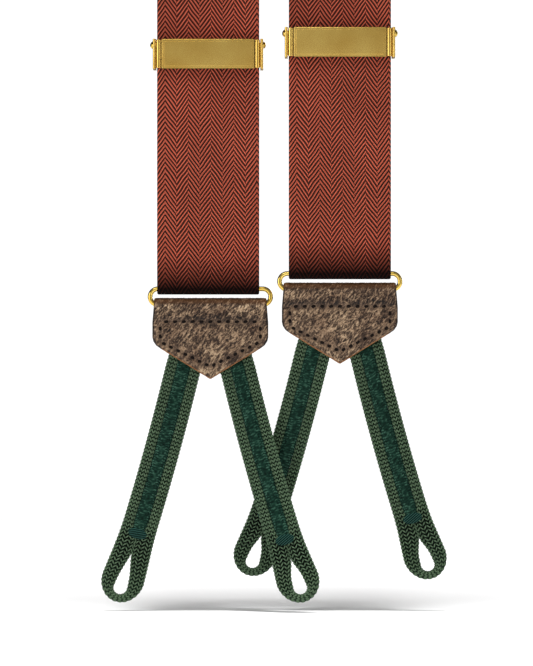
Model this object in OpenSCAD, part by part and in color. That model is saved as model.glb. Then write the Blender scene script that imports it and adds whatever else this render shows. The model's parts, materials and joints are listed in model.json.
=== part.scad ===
// Button-on dress braces, hung over a round rail with the fronts facing -Y.
// Origin: the rail's axis, midway between the two straps. +X to the right, +Z up, millimetres.

/* [Straps] */
// Width of the shoulder straps
strap_w = 38; // [32:0.5:40]
// Thickness of the woven strap
strap_t = 1.2; // [1.0:0.05:1.4]
// Gap between the two straps on the rail
strap_gap = 11; // [11:0.5:22]
// Radius of the rail that the braces hang over
rail_r = 16; // [12:0.5:20]
// From the rail's axis down to the right front strap's lower fold
front_drop = 525; // [420:1:640]
// How much lower the left front strap hangs
left_extra = 5.7; // [0:0.1:12]

/* [Back] */
// From the rail's axis down to the top of the back patch
patch_drop = 62; // [50:1:90]
// Height of the leather back patch
patch_h = 66; // [56:1:78]
// How far the back patch reaches past the straps' edges
patch_margin = 1.7; // [1:0.1:4]
// Thickness of each leather layer of the back patch
patch_t = 1.4; // [1.0:0.1:2]
// From the rail's axis down to the elastic's lower fold
rear_drop = 276; // [250:1:300]
// Thickness of the elastic
elastic_t = 1.6; // [1.2:0.1:1.8]

/* [Adjusters] */
// From the left strap's lower fold up to the middle of its adjuster
adjuster_rise = 89.3; // [60:0.1:150]
// How much closer to its fold the right adjuster is clamped
right_closer = 1.3; // [0:0.1:6]
// Height of the lever's front plate
plate_h = 11.1; // [10:0.1:13]
// How much narrower the lever's front plate is than the strap
plate_less = 4; // [3.8:0.1:8]
// Thickness of the brass sheet
sheet_t = 1.1; // [0.9:0.1:1.3]
// Radius of the pivot pin
pin_r = 0.7; // [0.5:0.05:0.9]

/* [Rings] */
// Diameter of the brass wire
wire_d = 1.8; // [1.5:0.1:2.2]
// Distance between the ring's two bars
bar_gap = 5.9; // [5.6:0.1:8]

/* [Leather tabs] */
// Thickness of the tab's leather
leather_t = 1.5; // [1.2:0.1:1.8]
// How much wider the tab is than the strap
tab_more = 4.9; // [4:0.1:5.2]
// Height of the tab from its top edge to its point
tab_h = 30.1; // [28:0.1:36]

/* [Runners] */
// Width of the flat runner, two cords and the strip between them
runner_w = 13.4; // [12:0.1:15]
// Thickness of the runner's cords
cord_t = 3.2; // [2.6:0.1:3.6]
// Length of a runner from its bend to the bottom of its loop
runner_len = 89.5; // [80:0.5:110]
// Radius of the round end of the button hole
hole_r = 2.4; // [2:0.1:3]
// From the bartack's middle down to the top of the button hole
seam_len = 8.2; // [6:0.1:10]
// From a runner's bend down to its bartack
bartack_at = 62.7; // [50:0.1:64]
// How much shorter the right strap's runners are
right_less = 3; // [0:0.1:4]
// How much lower the bartack of the left strap's crossing runner sits
cross_low = 2.6; // [0:0.1:4]
// Angle that the runners splay from the vertical
splay = 16.2; // [14:0.1:18]
// Angle that the crossing runners lean out of each other's way
lean = 7; // [6:0.5:9]

/* [Hidden] */
$fn = 48;
run_gap = 0.05;               // radial clearance of everything that turns on wire or pin
soft_gap = 0.4;               // clearance round webbing and leather
face_gap = 0.1;               // clearance between flat pieces of one body
strap_spacing = strap_w + strap_gap;
fold_r = wire_d / 2 + run_gap;
fold_out = fold_r + strap_t;
leather_out = fold_r + leather_t;
elastic_out = fold_r + elastic_t;

// Fronts: y of the layers, measured from the rail's axis
strap_y = -rail_r - strap_t / 2;
bar_y = -rail_r + fold_r;
return_y = bar_y + fold_r + strap_t / 2;
leg_h = 6;                    // straight legs of the strap's lower fold
end_bar_r = 0.9;              // bar of the adjuster that holds the strap's end
end_bar_y = return_y + strap_t / 2 + end_bar_r + run_gap;
end_bar_z = -plate_h / 2 + 2.4;
tail_h = 14;                  // sewn tail of the strap's end

// Adjuster, measured from its middle
cheek_in = strap_w / 2 + soft_gap;
cheek_out = cheek_in + sheet_t;
plate_w = strap_w - plate_less;
pivot_z = plate_h / 2 - 2.3;
cam_r = 2.5;
plate_front = 2.1;            // from the pivot's axis forward to the plate's face
curl_r = 0.95;
curl_gap = 0.35;              // groove between the plate and its side rolls
pivot_y = -rail_r - strap_t - cam_r - face_gap;
back_t = 0.7;
back_y = -rail_r + face_gap;

// Rear: the elastic hangs down the rail's other side
elastic_y = rail_r + strap_t / 2;
rear_bar_y = elastic_y + elastic_t / 2 + fold_r;
elastic_tail = 20;
patch_z = -patch_drop - patch_h;
rear_gap = 0.3;               // between the straps' edges where they meet above the patch, on each side
patch_w = 2 * (strap_w + rear_gap + patch_margin);
waist_h = 0.6 * patch_h;      // the patch narrows below this height, where the straps end
end_gap = 2;                  // between the straps' ends and the elastic's, under the patch

ring_straight = strap_w + 1;

// Tabs, measured from the ring's lower bar, which the leather folds over
tab_w = strap_w + tab_more;
tab_top_w = tab_w - 1.1;
tab_t = 2 * leather_out;
shoulder_z = leather_out - 14.6;
corner_z = leather_out - 18.9;
corner_x = tab_w / 2 - 3.15;
point_z = leather_out - tab_h;
tip_slope = (corner_z - point_z) / corner_x;
stitch_r = 0.35;
stitch_pitch = 3.28;
stitch_row_z = leather_out - 8.8;

// Runners: bend point and the loop, measured along the runner
bend_gap = 1.0;
bend_z = leather_out - 27.2;
bend_x = 10.4;
leg_w = 4.3;
core_w = runner_w - 2 * leg_w - 2 * face_gap;
core_t = 1.6;
loop_w = 16.3;
bartack_w = 6.8;
bartack_h = 3.4;
loop_wall = 3.3;              // cord below the hole
widest_up = 3.6;              // the loop is widest this far above the hole's round end

SIDE_NODES = ["bight", "front_web", "return_web", "strap_end", "strap_end_stitching",
              "adjuster_frame", "adjuster_lever", "adjuster_pin"];
TAB_NODES = ["ring", "tab_leather", "tab_stitching", "tab_runner_ends"];
RUNNER_NODES = ["braid", "core", "bartack"];
FRONTS = ["left", "right"];

function sign_of(side) = side == "left" ? -1 : 1;
function fold_z(side) = -front_drop - (side == "left" ? left_extra : 0);
function rise(side) = adjuster_rise - (side == "right" ? right_closer : 0);
function ring_shift(side) = side == "left" ? 0.8 : 0;
function crossing_front(side, runner) = side == "left" && runner == "right";
function runner_end(side) = runner_len - (side == "right" ? right_less : 0);
function hole_centre(side) = runner_end(side) - loop_wall - hole_r;
function bartack_z(side, runner) = -bartack_at - (crossing_front(side, runner) ? cross_low : 0);
function arc(r, a0, a1, n) = [for (i = [0 : n]) let (a = a0 + (a1 - a0) * i / n) [r * cos(a), r * sin(a)]];

// ---- placing ----
module at_front(side) {
    translate([sign_of(side) * strap_spacing / 2, 0, fold_z(side)]) children();
}
module at_adjuster(side) {
    at_front(side) translate([0, 0, rise(side)]) children();
}
// children are drawn about the ring's upper bar
module at_ring(side) {
    if (side == "rear") translate([0, rear_bar_y, -rear_drop + elastic_out]) children();
    else at_front(side) translate([ring_shift(side), bar_y, fold_out]) children();
}
module at_tab(side) {
    at_ring(side) translate([0, 0, -bar_gap]) children();
}
// the crossing runners lean apart: the left one forwards and the right one backwards
function lean_of(side, runner) = side == "rear" || side == runner ? 0 : (side == "left" ? -lean : lean);
module at_bend(side, runner, leaning = true) {
    s = sign_of(runner);
    at_tab(side) translate([s * bend_x, 0, bend_z]) rotate([0, -s * splay, 0])
        rotate([leaning ? lean_of(side, runner) : 0, 0, 0]) children();
}

// a plate in the XZ plane, centred on y = 0
module upright(t) {
    rotate([90, 0, 0]) translate([0, 0, -t / 2]) linear_extrude(t) children();
}
// a fold of thickness t over a bar of radius r along X, opening upwards, with two straight legs
module fold_over(r, t, w, front_leg, back_leg) {
    difference() {
        union() {
            rotate([0, 90, 0]) cylinder(r = r + t, h = w, center = true);
            translate([-w / 2, -r - t, 0]) cube([w, t, front_leg]);
            translate([-w / 2, r, 0]) cube([w, t, back_leg]);
        }
        rotate([0, 90, 0]) cylinder(r = r, h = w + 2, center = true);
        translate([-w / 2 - 1, -r, 0]) cube([w + 2, 2 * r, r + t + 1]);
        if (front_leg < r + t) translate([-w / 2 - 1, -r - t - 1, front_leg]) cube([w + 2, t + 1, r + t]);
    }
}

// ---- root: webbing over the rail, patch and elastic ----
module shoulder_web(side) {
    s = sign_of(side);
    x0 = s * strap_spacing / 2;
    rear_x = strap_w / 2 + rear_gap;                 // where the straps meet above the patch
    color("orangered") {
        translate([x0, 0, 0]) rotate([0, 90, 0]) rotate([0, 0, 90]) rotate_extrude(angle = 180)
            translate([rail_r, -strap_w / 2]) square([strap_t, strap_w]);
        // the rear leg slants in and is mitred against the other strap
        intersection() {
            upright_leg(x0, s * rear_x);
            translate([s > 0 ? rear_gap / 2 : -200 - rear_gap / 2, 0, -400]) cube([200, 100, 400]);
        }
    }
}
module upright_leg(x_top, x_low) {
    z_low = patch_z + waist_h;
    translate([0, elastic_y, 0]) upright(strap_t)
        polygon([[x_top - strap_w / 2, 0], [x_top + strap_w / 2, 0],
                 [x_low + strap_w / 2, z_low], [x_low - strap_w / 2, z_low]]);
}
module front_web(side) {
    color("orangered") translate([sign_of(side) * strap_spacing / 2 - strap_w / 2, -rail_r - strap_t,
        fold_z(side) + fold_out + leg_h]) cube([strap_w, strap_t, -fold_z(side) - fold_out - leg_h]);
}
// outline of the back patch: square top with round corners, tapering to a round-cornered foot
module patch_outline() {
    r = 8;
    foot = strap_w / 2 + 5;
    polygon(concat(
        [for (p = arc(r, 0, 90, 8)) [patch_w / 2 - r + p[0], patch_h - r + p[1]]],
        [for (p = arc(r, 90, 180, 8)) [-patch_w / 2 + r + p[0], patch_h - r + p[1]]],
        [[-patch_w / 2, waist_h]],
        [for (p = arc(r / 2, 180, 270, 8)) [-foot + r / 2 + p[0], r / 2 + p[1]]],
        [for (p = arc(r / 2, 270, 360, 8)) [foot - r / 2 + p[0], r / 2 + p[1]]],
        [[patch_w / 2, waist_h]]));
}
patch_gap = max(strap_t, elastic_t) / 2 + face_gap;
module back_patch(outer) {
    color("saddlebrown") translate([0, elastic_y + (outer ? 1 : -1) * (patch_gap + patch_t / 2), patch_z])
        upright(patch_t) patch_outline();
}
// stitches that run through both leathers along the patch's sides
module back_patch_stitching() {
    n = 15;
    color("black") for (s = [-1, 1]) for (i = [0 : n - 1]) {
        z = 5 + (patch_h - 10) * i / (n - 1);
        edge = z > waist_h ? patch_w / 2 : strap_w / 2 + 5
            + (patch_w / 2 - strap_w / 2 - 5) * z / (waist_h);
        for (y = [-1, 1]) translate([s * (edge - 3.2), elastic_y + y * (patch_gap + patch_t + stitch_r / 2),
            patch_z + z]) stitch_bar(90);
    }
}
module stitch_bar(angle, long = 2.2) {
    rotate([0, angle, 0]) cube([long, stitch_r, 2 * stitch_r], center = true);
}
module rear_elastic() {
    top = patch_z + waist_h - end_gap;
    low = -rear_drop + elastic_out + elastic_tail;
    color("darkred") translate([-strap_w / 2, elastic_y - elastic_t / 2, low])
        cube([strap_w, elastic_t, top - low]);
}
module rear_bight() {
    color("darkred") translate([0, rear_bar_y, -rear_drop + elastic_out])
        fold_over(fold_r, elastic_t, strap_w, elastic_tail, elastic_tail);
}
module rear_bight_stitching() {
    color("black") for (i = [-5 : 5])
        translate([i * stitch_pitch, rear_bar_y + elastic_out + stitch_r / 2,
                   -rear_drop + elastic_out + elastic_tail - 4]) stitch_bar(0);
}

// ---- front strap's lower end ----
module bight(side) {
    color("orangered") at_front(side) translate([0, bar_y, fold_out])
        fold_over(fold_r, strap_t, strap_w, leg_h, leg_h);
}
module return_web(side) {
    low = fold_out + leg_h;
    high = rise(side) + end_bar_z - tail_h;
    color("orangered") at_front(side) translate([-strap_w / 2, return_y - strap_t / 2, low])
        cube([strap_w, strap_t, high - low]);
}
// the strap's end turns over the adjuster's bar and is sewn to itself
module strap_end(side) {
    r = end_bar_r + run_gap;
    color("orangered") at_adjuster(side) translate([0, end_bar_y, end_bar_z]) rotate([180, 0, 0])
        fold_over(r, strap_t, strap_w, tail_h, tail_h);
}
module strap_end_stitching(side) {
    color("black") at_adjuster(side) for (i = [-5 : 5])
        translate([i * stitch_pitch, end_bar_y + end_bar_r + run_gap + strap_t + stitch_r / 2,
                   end_bar_z - tail_h + 4]) stitch_bar(0);
}

// ---- adjuster ----
module adjuster_frame(side) {
    edge_r = sheet_t / 2;
    front_y = pivot_y - 1.2;
    deep = end_bar_y + end_bar_r + 0.6;
    color("gold") at_adjuster(side) difference() {
        union() {
            translate([-cheek_out, back_y, -plate_h / 2 + 1]) cube([2 * cheek_out, back_t, plate_h - 2]);
            for (s = [-1, 1]) translate([s * (cheek_in + sheet_t / 2), 0, 0]) {
                translate([-sheet_t / 2, front_y, -plate_h / 2]) cube([sheet_t, deep - front_y, plate_h]);
                translate([0, front_y, 0]) cylinder(r = edge_r, h = plate_h, center = true);
            }
            translate([0, end_bar_y, end_bar_z]) rotate([0, 90, 0])
                cylinder(r = end_bar_r, h = 2 * cheek_in + 1, center = true);
        }
        translate([0, pivot_y, pivot_z]) rotate([0, 90, 0])
            cylinder(r = pin_r + run_gap, h = 2 * cheek_out + 2, center = true);
    }
}
// outline of the lever across the strap: plate, web and toothed cam; x is forwards, y is up
module lever_outline() {
    plate_low = -plate_h / 2 - pivot_z;
    plate_top = plate_h / 2 - pivot_z;
    circle(r = 2.0);
    polygon([[plate_front - 0.9, plate_low], [plate_front - 0.4, plate_low - 0.02],
             [plate_front, plate_low + 0.9], [plate_front, plate_top - 0.9],
             [plate_front - 0.7, plate_top], [0.6, plate_top], [-0.6, 1.7],
             [0.5, -2.2], [plate_front - 0.9, -2.6]]);
    for (a = [150 : 20 : 210]) rotate(a) polygon([[1.6, -0.5], [cam_r, 0], [1.6, 0.5]]);
}
module adjuster_lever(side) {
    color("gold") at_adjuster(side) translate([0, pivot_y, pivot_z]) difference() {
        union() {
            rotate([90, 0, -90]) translate([0, 0, -plate_w / 2]) linear_extrude(plate_w) lever_outline();
            rotate([0, 90, 0]) cylinder(r = 1.7, h = plate_w + 2.6, center = true);
            // the plate's sides are curled into a roll that carries the pin
            for (s = [-1, 1]) translate([s * (plate_w / 2 + curl_r + curl_gap), curl_r - plate_front,
                -pivot_z]) cylinder(r = curl_r, h = plate_h - 0.6, center = true);
        }
        rotate([0, 90, 0]) cylinder(r = pin_r + run_gap, h = plate_w + 10, center = true);
    }
}
module adjuster_pin(side) {
    head_r = 1.4;
    color("goldenrod") at_adjuster(side) translate([0, pivot_y, pivot_z]) {
        rotate([0, 90, 0]) cylinder(r = pin_r, h = 2 * cheek_out + 0.4, center = true);
        for (s = [-1, 1]) translate([s * (cheek_out + run_gap), 0, 0]) intersection() {
            translate([-s * 0.6, 0, 0]) sphere(r = 1.55);
            translate([s > 0 ? 0 : -2, -head_r, -head_r]) cube([2, 2 * head_r, 2 * head_r]);
        }
    }
}

// ---- ring, tab and runners ----
module ring(side) {
    arc_r = bar_gap / 2;
    color("gold") at_ring(side) translate([0, 0, -arc_r]) {
        for (s = [-1, 1]) translate([0, 0, s * arc_r]) rotate([0, 90, 0])
            cylinder(r = wire_d / 2, h = ring_straight, center = true);
        for (s = [-1, 1]) translate([s * ring_straight / 2, 0, 0])
            rotate([90, 0, 0]) rotate([0, 0, s > 0 ? -90 : 90])
                rotate_extrude(angle = 180) translate([arc_r, 0]) circle(r = wire_d / 2);
    }
}
// half outline of the tab below its fold: waist, side, round shoulder, straight run to the point
module tab_outline() {
    half = concat(
        [[tab_top_w / 2, 0], [tab_w / 2, -6.6]],
        [for (p = arc(3.4, 0, -52, 6)) [tab_w / 2 - 3.4 + p[0], shoulder_z + p[1] * 1.4]],
        [[0, point_z]]);
    polygon(concat(half, [for (i = [len(half) - 2 : -1 : 0]) [-half[i][0], half[i][1]]]));
}
module tab_leather(side) {
    color("saddlebrown") at_tab(side) difference() {
        union() {
            rotate([0, 90, 0]) cylinder(r = leather_out, h = tab_top_w, center = true);
            upright(tab_t) tab_outline();
        }
        rotate([0, 90, 0]) cylinder(r = fold_r, h = tab_w + 2, center = true);
        translate([-tab_w, -fold_r, -2 * tab_h]) cube([2 * tab_w, 2 * fold_r, 2 * tab_h]);
        // the fold is skived wider where the wire starts to curve
        for (s = [-1, 1]) translate([s * (ring_straight / 2 + 2.3), 0, 0]) rotate([0, 90, 0])
            cylinder(r = fold_r + 0.6, h = 5, center = true);
    }
}
// one row under the fold, then down both sides and along the diagonals to the point
module tab_stitching(side) {
    row_x = 5 * stitch_pitch;
    side_x = row_x + 2.2;
    low_z = corner_z + 2.6;
    tip_z = point_z + 4.6;
    slant = atan((low_z - tip_z) / side_x);
    run = norm([side_x, low_z - tip_z]);
    color("black") at_tab(side) for (y = [-1, 1]) translate([0, y * (leather_out + stitch_r / 2), 0]) {
        for (i = [-5 : 5]) translate([i * stitch_pitch, 0, stitch_row_z]) stitch_bar(0);
        for (s = [-1, 1]) {
            for (i = [0 : 1]) translate([s * side_x, 0, stitch_row_z - 2.6 - 2.9 * i]) stitch_bar(90);
            for (i = [0 : 5]) let (d = (i + 0.5) / 6)
                translate([s * side_x * (1 - d), 0, low_z + (tip_z - low_z) * d])
                    stitch_bar(s * -slant, run / 6 - 1.0);
        }
    }
}
// the runners' upper ends, flat between the leathers and full thickness below them
module tab_runner_ends(side) {
    color("darkgreen") at_tab(side) intersection() {
        union() for (s = [-1, 1]) translate([s * bend_x, 0, bend_z]) rotate([0, -s * splay, 0])
            translate([-runner_w / 2, -fold_r + face_gap, bend_gap / 2])
                cube([runner_w, 2 * (fold_r - face_gap), 19]);
        union() {
            translate([0, -5, -2 * tab_h]) cube([tab_w, 10, 2 * tab_h - 3]);
            translate([-tab_w, -5, -2 * tab_h]) cube([tab_w, 10, 2 * tab_h - 3]);
        }
    }
}
// outline of the folded cord: two legs beside the strip, closing to a loop with a button hole
module braid(side, runner) {
    z0 = -bend_gap / 2;
    z_tack = bartack_z(side, runner);
    z_end = -runner_end(side);
    z_hole = -hole_centre(side);
    z_wide = z_hole + widest_up;
    color("darkgreen") at_bend(side, runner) difference() {
        upright(cord_t) polygon(concat(
            [[-runner_w / 2, z0], [-runner_w / 2, z_tack - 2]],
            [for (p = arc(loop_w / 2, 180, 360, 20))
                [p[0], z_wide + p[1] * (z_wide - z_end) / (loop_w / 2)]],
            [[runner_w / 2, z_tack - 2], [runner_w / 2, z0]]));
        translate([-runner_w / 2 + leg_w, -cord_t, z_tack - bartack_h / 2])
            cube([runner_w - 2 * leg_w, 2 * cord_t, -z_tack + bartack_h]);
        translate([0, 0, z_hole]) rotate([90, 0, 0]) cylinder(r = hole_r, h = 3 * cord_t, center = true);
        upright(3 * cord_t) polygon([[-hole_r, z_hole], [hole_r, z_hole], [0.3, z_tack - seam_len],
                                     [-0.3, z_tack - seam_len]]);
    }
}
module core(side, runner) {
    long = -bartack_z(side, runner) - bartack_h / 2;
    color("teal") at_bend(side, runner) translate([-core_w / 2, -core_t / 2, -long])
        cube([core_w, core_t, long - bend_gap / 2]);
}
// an oval of thread on each face, joined through the gap between the cords
module bartack(side, runner) {
    cap_t = 0.6;
    color("darkslategray") at_bend(side, runner) translate([0, 0, bartack_z(side, runner)]) {
        for (s = [-1, 1]) translate([0, s * (cord_t / 2 + face_gap + cap_t / 2), 0]) upright(cap_t) {
            square([bartack_w - bartack_h, bartack_h], center = true);
            for (e = [-1, 1]) translate([e * (bartack_w - bartack_h) / 2, 0]) circle(d = bartack_h);
        }
        cube([core_w, cord_t + 2 * face_gap + cap_t, bartack_h - 2 * face_gap], center = true);
    }
}

back_patch(true);  // back_patch_outer
back_patch(false);  // back_patch_inner
back_patch_stitching();
rear_elastic();
rear_bight();
rear_bight_stitching();
for (f = FRONTS) {
    shoulder_web(f);
    front_web(f);
    bight(f);
    return_web(f);
    strap_end(f);
    strap_end_stitching(f);
    adjuster_frame(f);
    adjuster_lever(f);
    adjuster_pin(f);
}
for (f = concat(FRONTS, ["rear"])) {
    ring(f);
    tab_leather(f);
    tab_stitching(f);
    tab_runner_ends(f);
    for (r = FRONTS) {
        braid(f, r);
        core(f, r);
        bartack(f, r);
    }
}
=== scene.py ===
import json
import math

import bpy
import bmesh
import numpy as np
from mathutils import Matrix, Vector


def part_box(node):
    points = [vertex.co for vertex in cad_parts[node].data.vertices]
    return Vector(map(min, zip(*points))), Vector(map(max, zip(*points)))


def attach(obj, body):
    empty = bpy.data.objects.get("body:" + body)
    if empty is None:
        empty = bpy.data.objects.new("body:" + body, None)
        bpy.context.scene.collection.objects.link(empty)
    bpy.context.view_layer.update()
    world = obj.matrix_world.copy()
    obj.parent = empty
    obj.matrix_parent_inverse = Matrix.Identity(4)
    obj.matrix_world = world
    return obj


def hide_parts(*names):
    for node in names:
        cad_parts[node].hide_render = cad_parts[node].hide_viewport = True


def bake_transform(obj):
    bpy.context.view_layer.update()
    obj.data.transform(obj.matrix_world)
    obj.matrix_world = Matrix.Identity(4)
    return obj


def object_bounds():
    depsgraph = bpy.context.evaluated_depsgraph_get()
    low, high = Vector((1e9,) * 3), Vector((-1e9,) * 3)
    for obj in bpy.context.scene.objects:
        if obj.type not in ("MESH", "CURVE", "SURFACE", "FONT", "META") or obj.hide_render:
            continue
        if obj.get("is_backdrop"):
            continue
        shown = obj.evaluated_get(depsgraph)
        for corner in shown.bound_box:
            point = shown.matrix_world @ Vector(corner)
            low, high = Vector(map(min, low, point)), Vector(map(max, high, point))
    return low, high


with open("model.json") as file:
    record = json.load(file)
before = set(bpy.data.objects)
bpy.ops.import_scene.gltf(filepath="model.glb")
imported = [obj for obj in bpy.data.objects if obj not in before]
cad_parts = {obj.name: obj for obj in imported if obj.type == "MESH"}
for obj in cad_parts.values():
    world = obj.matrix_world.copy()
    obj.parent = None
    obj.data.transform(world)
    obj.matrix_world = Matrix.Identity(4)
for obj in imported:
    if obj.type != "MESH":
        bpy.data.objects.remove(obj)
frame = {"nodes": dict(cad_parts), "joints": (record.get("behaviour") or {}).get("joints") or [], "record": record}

cadBox = [list(corner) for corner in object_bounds()]
mm = 0.001
joints = {joint["name"]: joint for joint in frame["joints"]}
mounts = {mount["name"]: mount for mount in frame["record"]["mounts"]}
fronts = ("left", "right")
ends = ("left", "right", "rear")
print("frame loaded:", len(frame["nodes"]), "nodes")


def nodeBox(name):
    low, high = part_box(name)
    return np.array(low), np.array(high)


def gridPart(points, caps=True, **attributes):
    # rows run along U and columns all the way round V; caps close the end rows with one face each
    rows, columns = points.shape[:2]
    u = np.arange(rows - 1)[:, None] * columns
    v = np.arange(columns)[None, :]
    nextV = (v + 1) % columns
    quads = np.stack([u + v, u + nextV, u + columns + nextV, u + columns + v], -1).reshape(-1, 4)
    faces = quads.tolist()
    if caps:
        faces.append(list(range(columns))[::-1])
        faces.append([(rows - 1) * columns + i for i in range(columns)])
    flat = {key: np.broadcast_to(value, points.shape[:2]).reshape(-1)
            for key, value in attributes.items()}
    return {"verts": points.reshape(-1, 3), "faces": faces, "quads": quads, "attributes": flat}


def facesOutward(part):
    # the signed volume of the quads says which way the grid winds
    p = part["verts"][part["quads"]]
    middle = part["verts"].mean(0)
    a, b, c, d = [p[:, i] - middle for i in range(4)]
    volume = sum(np.einsum("ij,ij->i", a, np.cross(*pair)).sum() for pair in ((b, c), (c, d)))
    if volume < 0:
        part["faces"] = [face[::-1] for face in part["faces"]]


def intoScene(name, data):
    thing = bpy.data.objects.new(name, data)
    bpy.context.scene.collection.objects.link(thing)
    return thing


def smoothPiece(name, mesh, material, smoothAngle):
    mesh.polygons.foreach_set("use_smooth", np.ones(len(mesh.polygons), bool))
    mesh.set_sharp_from_angle(angle=math.radians(smoothAngle))
    mesh.materials.append(material)
    return intoScene(name, mesh)


def makePiece(name, parts, material, smoothAngle=60):
    verts, faces, start = [], [], 0
    for part in parts:
        facesOutward(part)
        verts.append(part["verts"])
        faces.extend([[i + start for i in face] for face in part["faces"]] if start else part["faces"])
        start += len(part["verts"])
    mesh = bpy.data.meshes.new(name)
    mesh.from_pydata(np.concatenate(verts).tolist(), [], faces)
    for key in parts[0]["attributes"]:
        layer = mesh.attributes.new(key, "FLOAT", "POINT")
        values = np.concatenate([part["attributes"][key] for part in parts])
        layer.data.foreach_set("value", values.astype(np.float32))
    return smoothPiece(name, mesh, material, smoothAngle)


def welded(mesh, gap):
    # an editable copy of a mesh, in which points closer than the gap are joined
    shape = bmesh.new()
    shape.from_mesh(mesh)
    bmesh.ops.remove_doubles(shape, verts=shape.verts, dist=gap)
    return shape


def finished(piece, replaced, body=None, bend=None):
    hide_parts(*replaced)
    if bend:
        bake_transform(piece)
    else:
        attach(piece, body)


def smoothStep(x, low, high):
    t = np.clip((np.asarray(x, float) - low) / (high - low), 0, 1)
    return t * t * (3 - 2 * t)


def unit(vectors):
    return vectors / np.maximum(np.linalg.norm(vectors, axis=-1, keepdims=True), 1e-12)


def lattice(x, y, seed, size=64):
    # value noise: random heights at whole numbers, joined by smooth steps, repeating after the table's size
    table = np.random.default_rng(seed).random((size, size))
    xi, yi = np.floor(x).astype(int), np.floor(y).astype(int)
    fx, fy = x - xi, y - yi
    fx, fy = fx * fx * (3 - 2 * fx), fy * fy * (3 - 2 * fy)
    corner = lambda i, j: table[(xi + i) % size, (yi + j) % size]
    low = corner(0, 0) * (1 - fx) + corner(1, 0) * fx
    high = corner(0, 1) * (1 - fx) + corner(1, 1) * fx
    return low * (1 - fy) + high * fy


def layeredNoise(x, y, seed, layers=3):
    total = sum(lattice(x * 2 ** i, y * 2 ** i, seed + i) / 2 ** i for i in range(layers))
    return total / sum(0.5 ** i for i in range(layers))


def tubeAlong(centres, sideways, outward, halfWide, halfThick, sides, **attributes):
    # an ellipse carried along a path: centre + cos(t) halfWide sideways + sin(t) halfThick outward
    t = np.arange(sides) * 2 * math.pi / sides
    points = (centres[:, None] + np.cos(t)[None, :, None] * (halfWide * sideways)[:, None]
              + np.sin(t)[None, :, None] * (halfThick * outward)[:, None])
    return gridPart(points, **attributes)


def capsule(centre, along, up, length, radius, rows=7, sides=8):
    # a short thread: a tube whose radius follows a half circle at both ends
    x = np.linspace(-1, 1, rows)
    swell = np.sqrt(np.clip(1 - np.abs(x) ** 4, 0.02, 1))[:, None]
    across = np.cross(along, up)
    middle = centre + x[:, None] * along * length / 2
    return tubeAlong(middle, np.broadcast_to(across, (rows, 3)), np.broadcast_to(up, (rows, 3)),
                     radius * swell, radius * 0.8 * swell, sides)


def evenYarn(threads):
    # sewing thread has the same height and tint all over
    for part in threads:
        part["attributes"] = {key: np.full(len(part["verts"]), 0.5) for key in ("lift", "tint")}
    return threads


def srgb(code):
    # from a hex code to linear light
    parts = [int(code[i:i + 2], 16) / 255 for i in (1, 3, 5)]
    return tuple(c / 12.92 if c <= 0.04045 else ((c + 0.055) / 1.055) ** 2.4 for c in parts) + (1.0,)


def addNode(tree, kind, settings=(), links=()):
    # one node, its own values or input values by name or number, and what feeds it
    node = tree.nodes.new(kind)
    for key, value in dict(settings).items():
        if key == "stops":
            while len(node.color_ramp.elements) < len(value):
                node.color_ramp.elements.new(0.5)
            for element, (position, colour) in zip(node.color_ramp.elements, value):
                element.position, element.color = position, srgb(colour)
        elif isinstance(key, int) or key in node.inputs:
            node.inputs[key].default_value = value
        else:
            setattr(node, key, value)
    for key, source in dict(links).items():
        tree.links.new(source, node.inputs[key])
    return node


def newMaterial(name, **shader):
    material = bpy.data.materials.new(name)
    material.use_nodes = True
    tree = material.node_tree
    surface = tree.nodes["Principled BSDF"]
    for key, value in shader.items():
        surface.inputs[key.replace("_", " ")].default_value = value
    return material, tree, surface


def attributeOf(tree, name):
    return addNode(tree, "ShaderNodeAttribute", {"attribute_name": name}).outputs["Fac"]


def objectPlace(tree):
    return addNode(tree, "ShaderNodeTexCoord").outputs["Object"]


def noiseOver(tree, where, scale, detail, roughness=0.5):
    return addNode(tree, "ShaderNodeTexNoise", {"Scale": scale, "Detail": detail, "Roughness": roughness},
                   {"Vector": where}).outputs["Fac"]


def rampOf(tree, level, *stops):
    return addNode(tree, "ShaderNodeValToRGB", {"stops": stops}, {0: level}).outputs[0]


def remap(tree, value, fromRange, toRange, **more):
    limits = dict(zip(("From Min", "From Max", "To Min", "To Max"), (*fromRange, *toRange)))
    return addNode(tree, "ShaderNodeMapRange", {**more, **limits}, {"Value": value}).outputs[0]


def maths(tree, operation, *values):
    # a number becomes the input's own value, and an output is linked to it
    numbers = {i: value for i, value in enumerate(values) if isinstance(value, float)}
    links = {i: value for i, value in enumerate(values) if i not in numbers}
    return addNode(tree, "ShaderNodeMath", {"operation": operation, **numbers}, links).outputs[0]


def mixColours(tree, share, first, second, blend="MIX"):
    inputs = {0: share, 6: first, 7: second}
    numbers = {i: value for i, value in inputs.items() if isinstance(value, (float, tuple))}
    links = {i: value for i, value in inputs.items() if i not in numbers}
    settings = {"data_type": "RGBA", "blend_type": blend, **numbers}
    return addNode(tree, "ShaderNodeMix", settings, links).outputs[2]


def addBump(tree, surface, height, strength, distance):
    bump = addNode(tree, "ShaderNodeBump", {"Strength": strength, "Distance": distance}, {"Height": height})
    tree.links.new(bump.outputs[0], surface.inputs["Normal"])


weave = {
    "half": 4.35,        # mm across, from a point of the zigzag to the next
    "rise": 1.95,        # mm along the strap, from one line to the next
    "slope": 1.37,       # mm along for each mm across
    "thread": 0.36,      # mm, width of one warp thread
    "shift": 203.55,     # mm, puts a point of the zigzag just right of the middle
    "drift": 2.2,        # mm, how far the lines wander
    "fray": 0.22,        # how uneven the lines' edges are
    "grime": -0.97,      # how much painted shade darkens the cloth towards the fold
}


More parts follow.
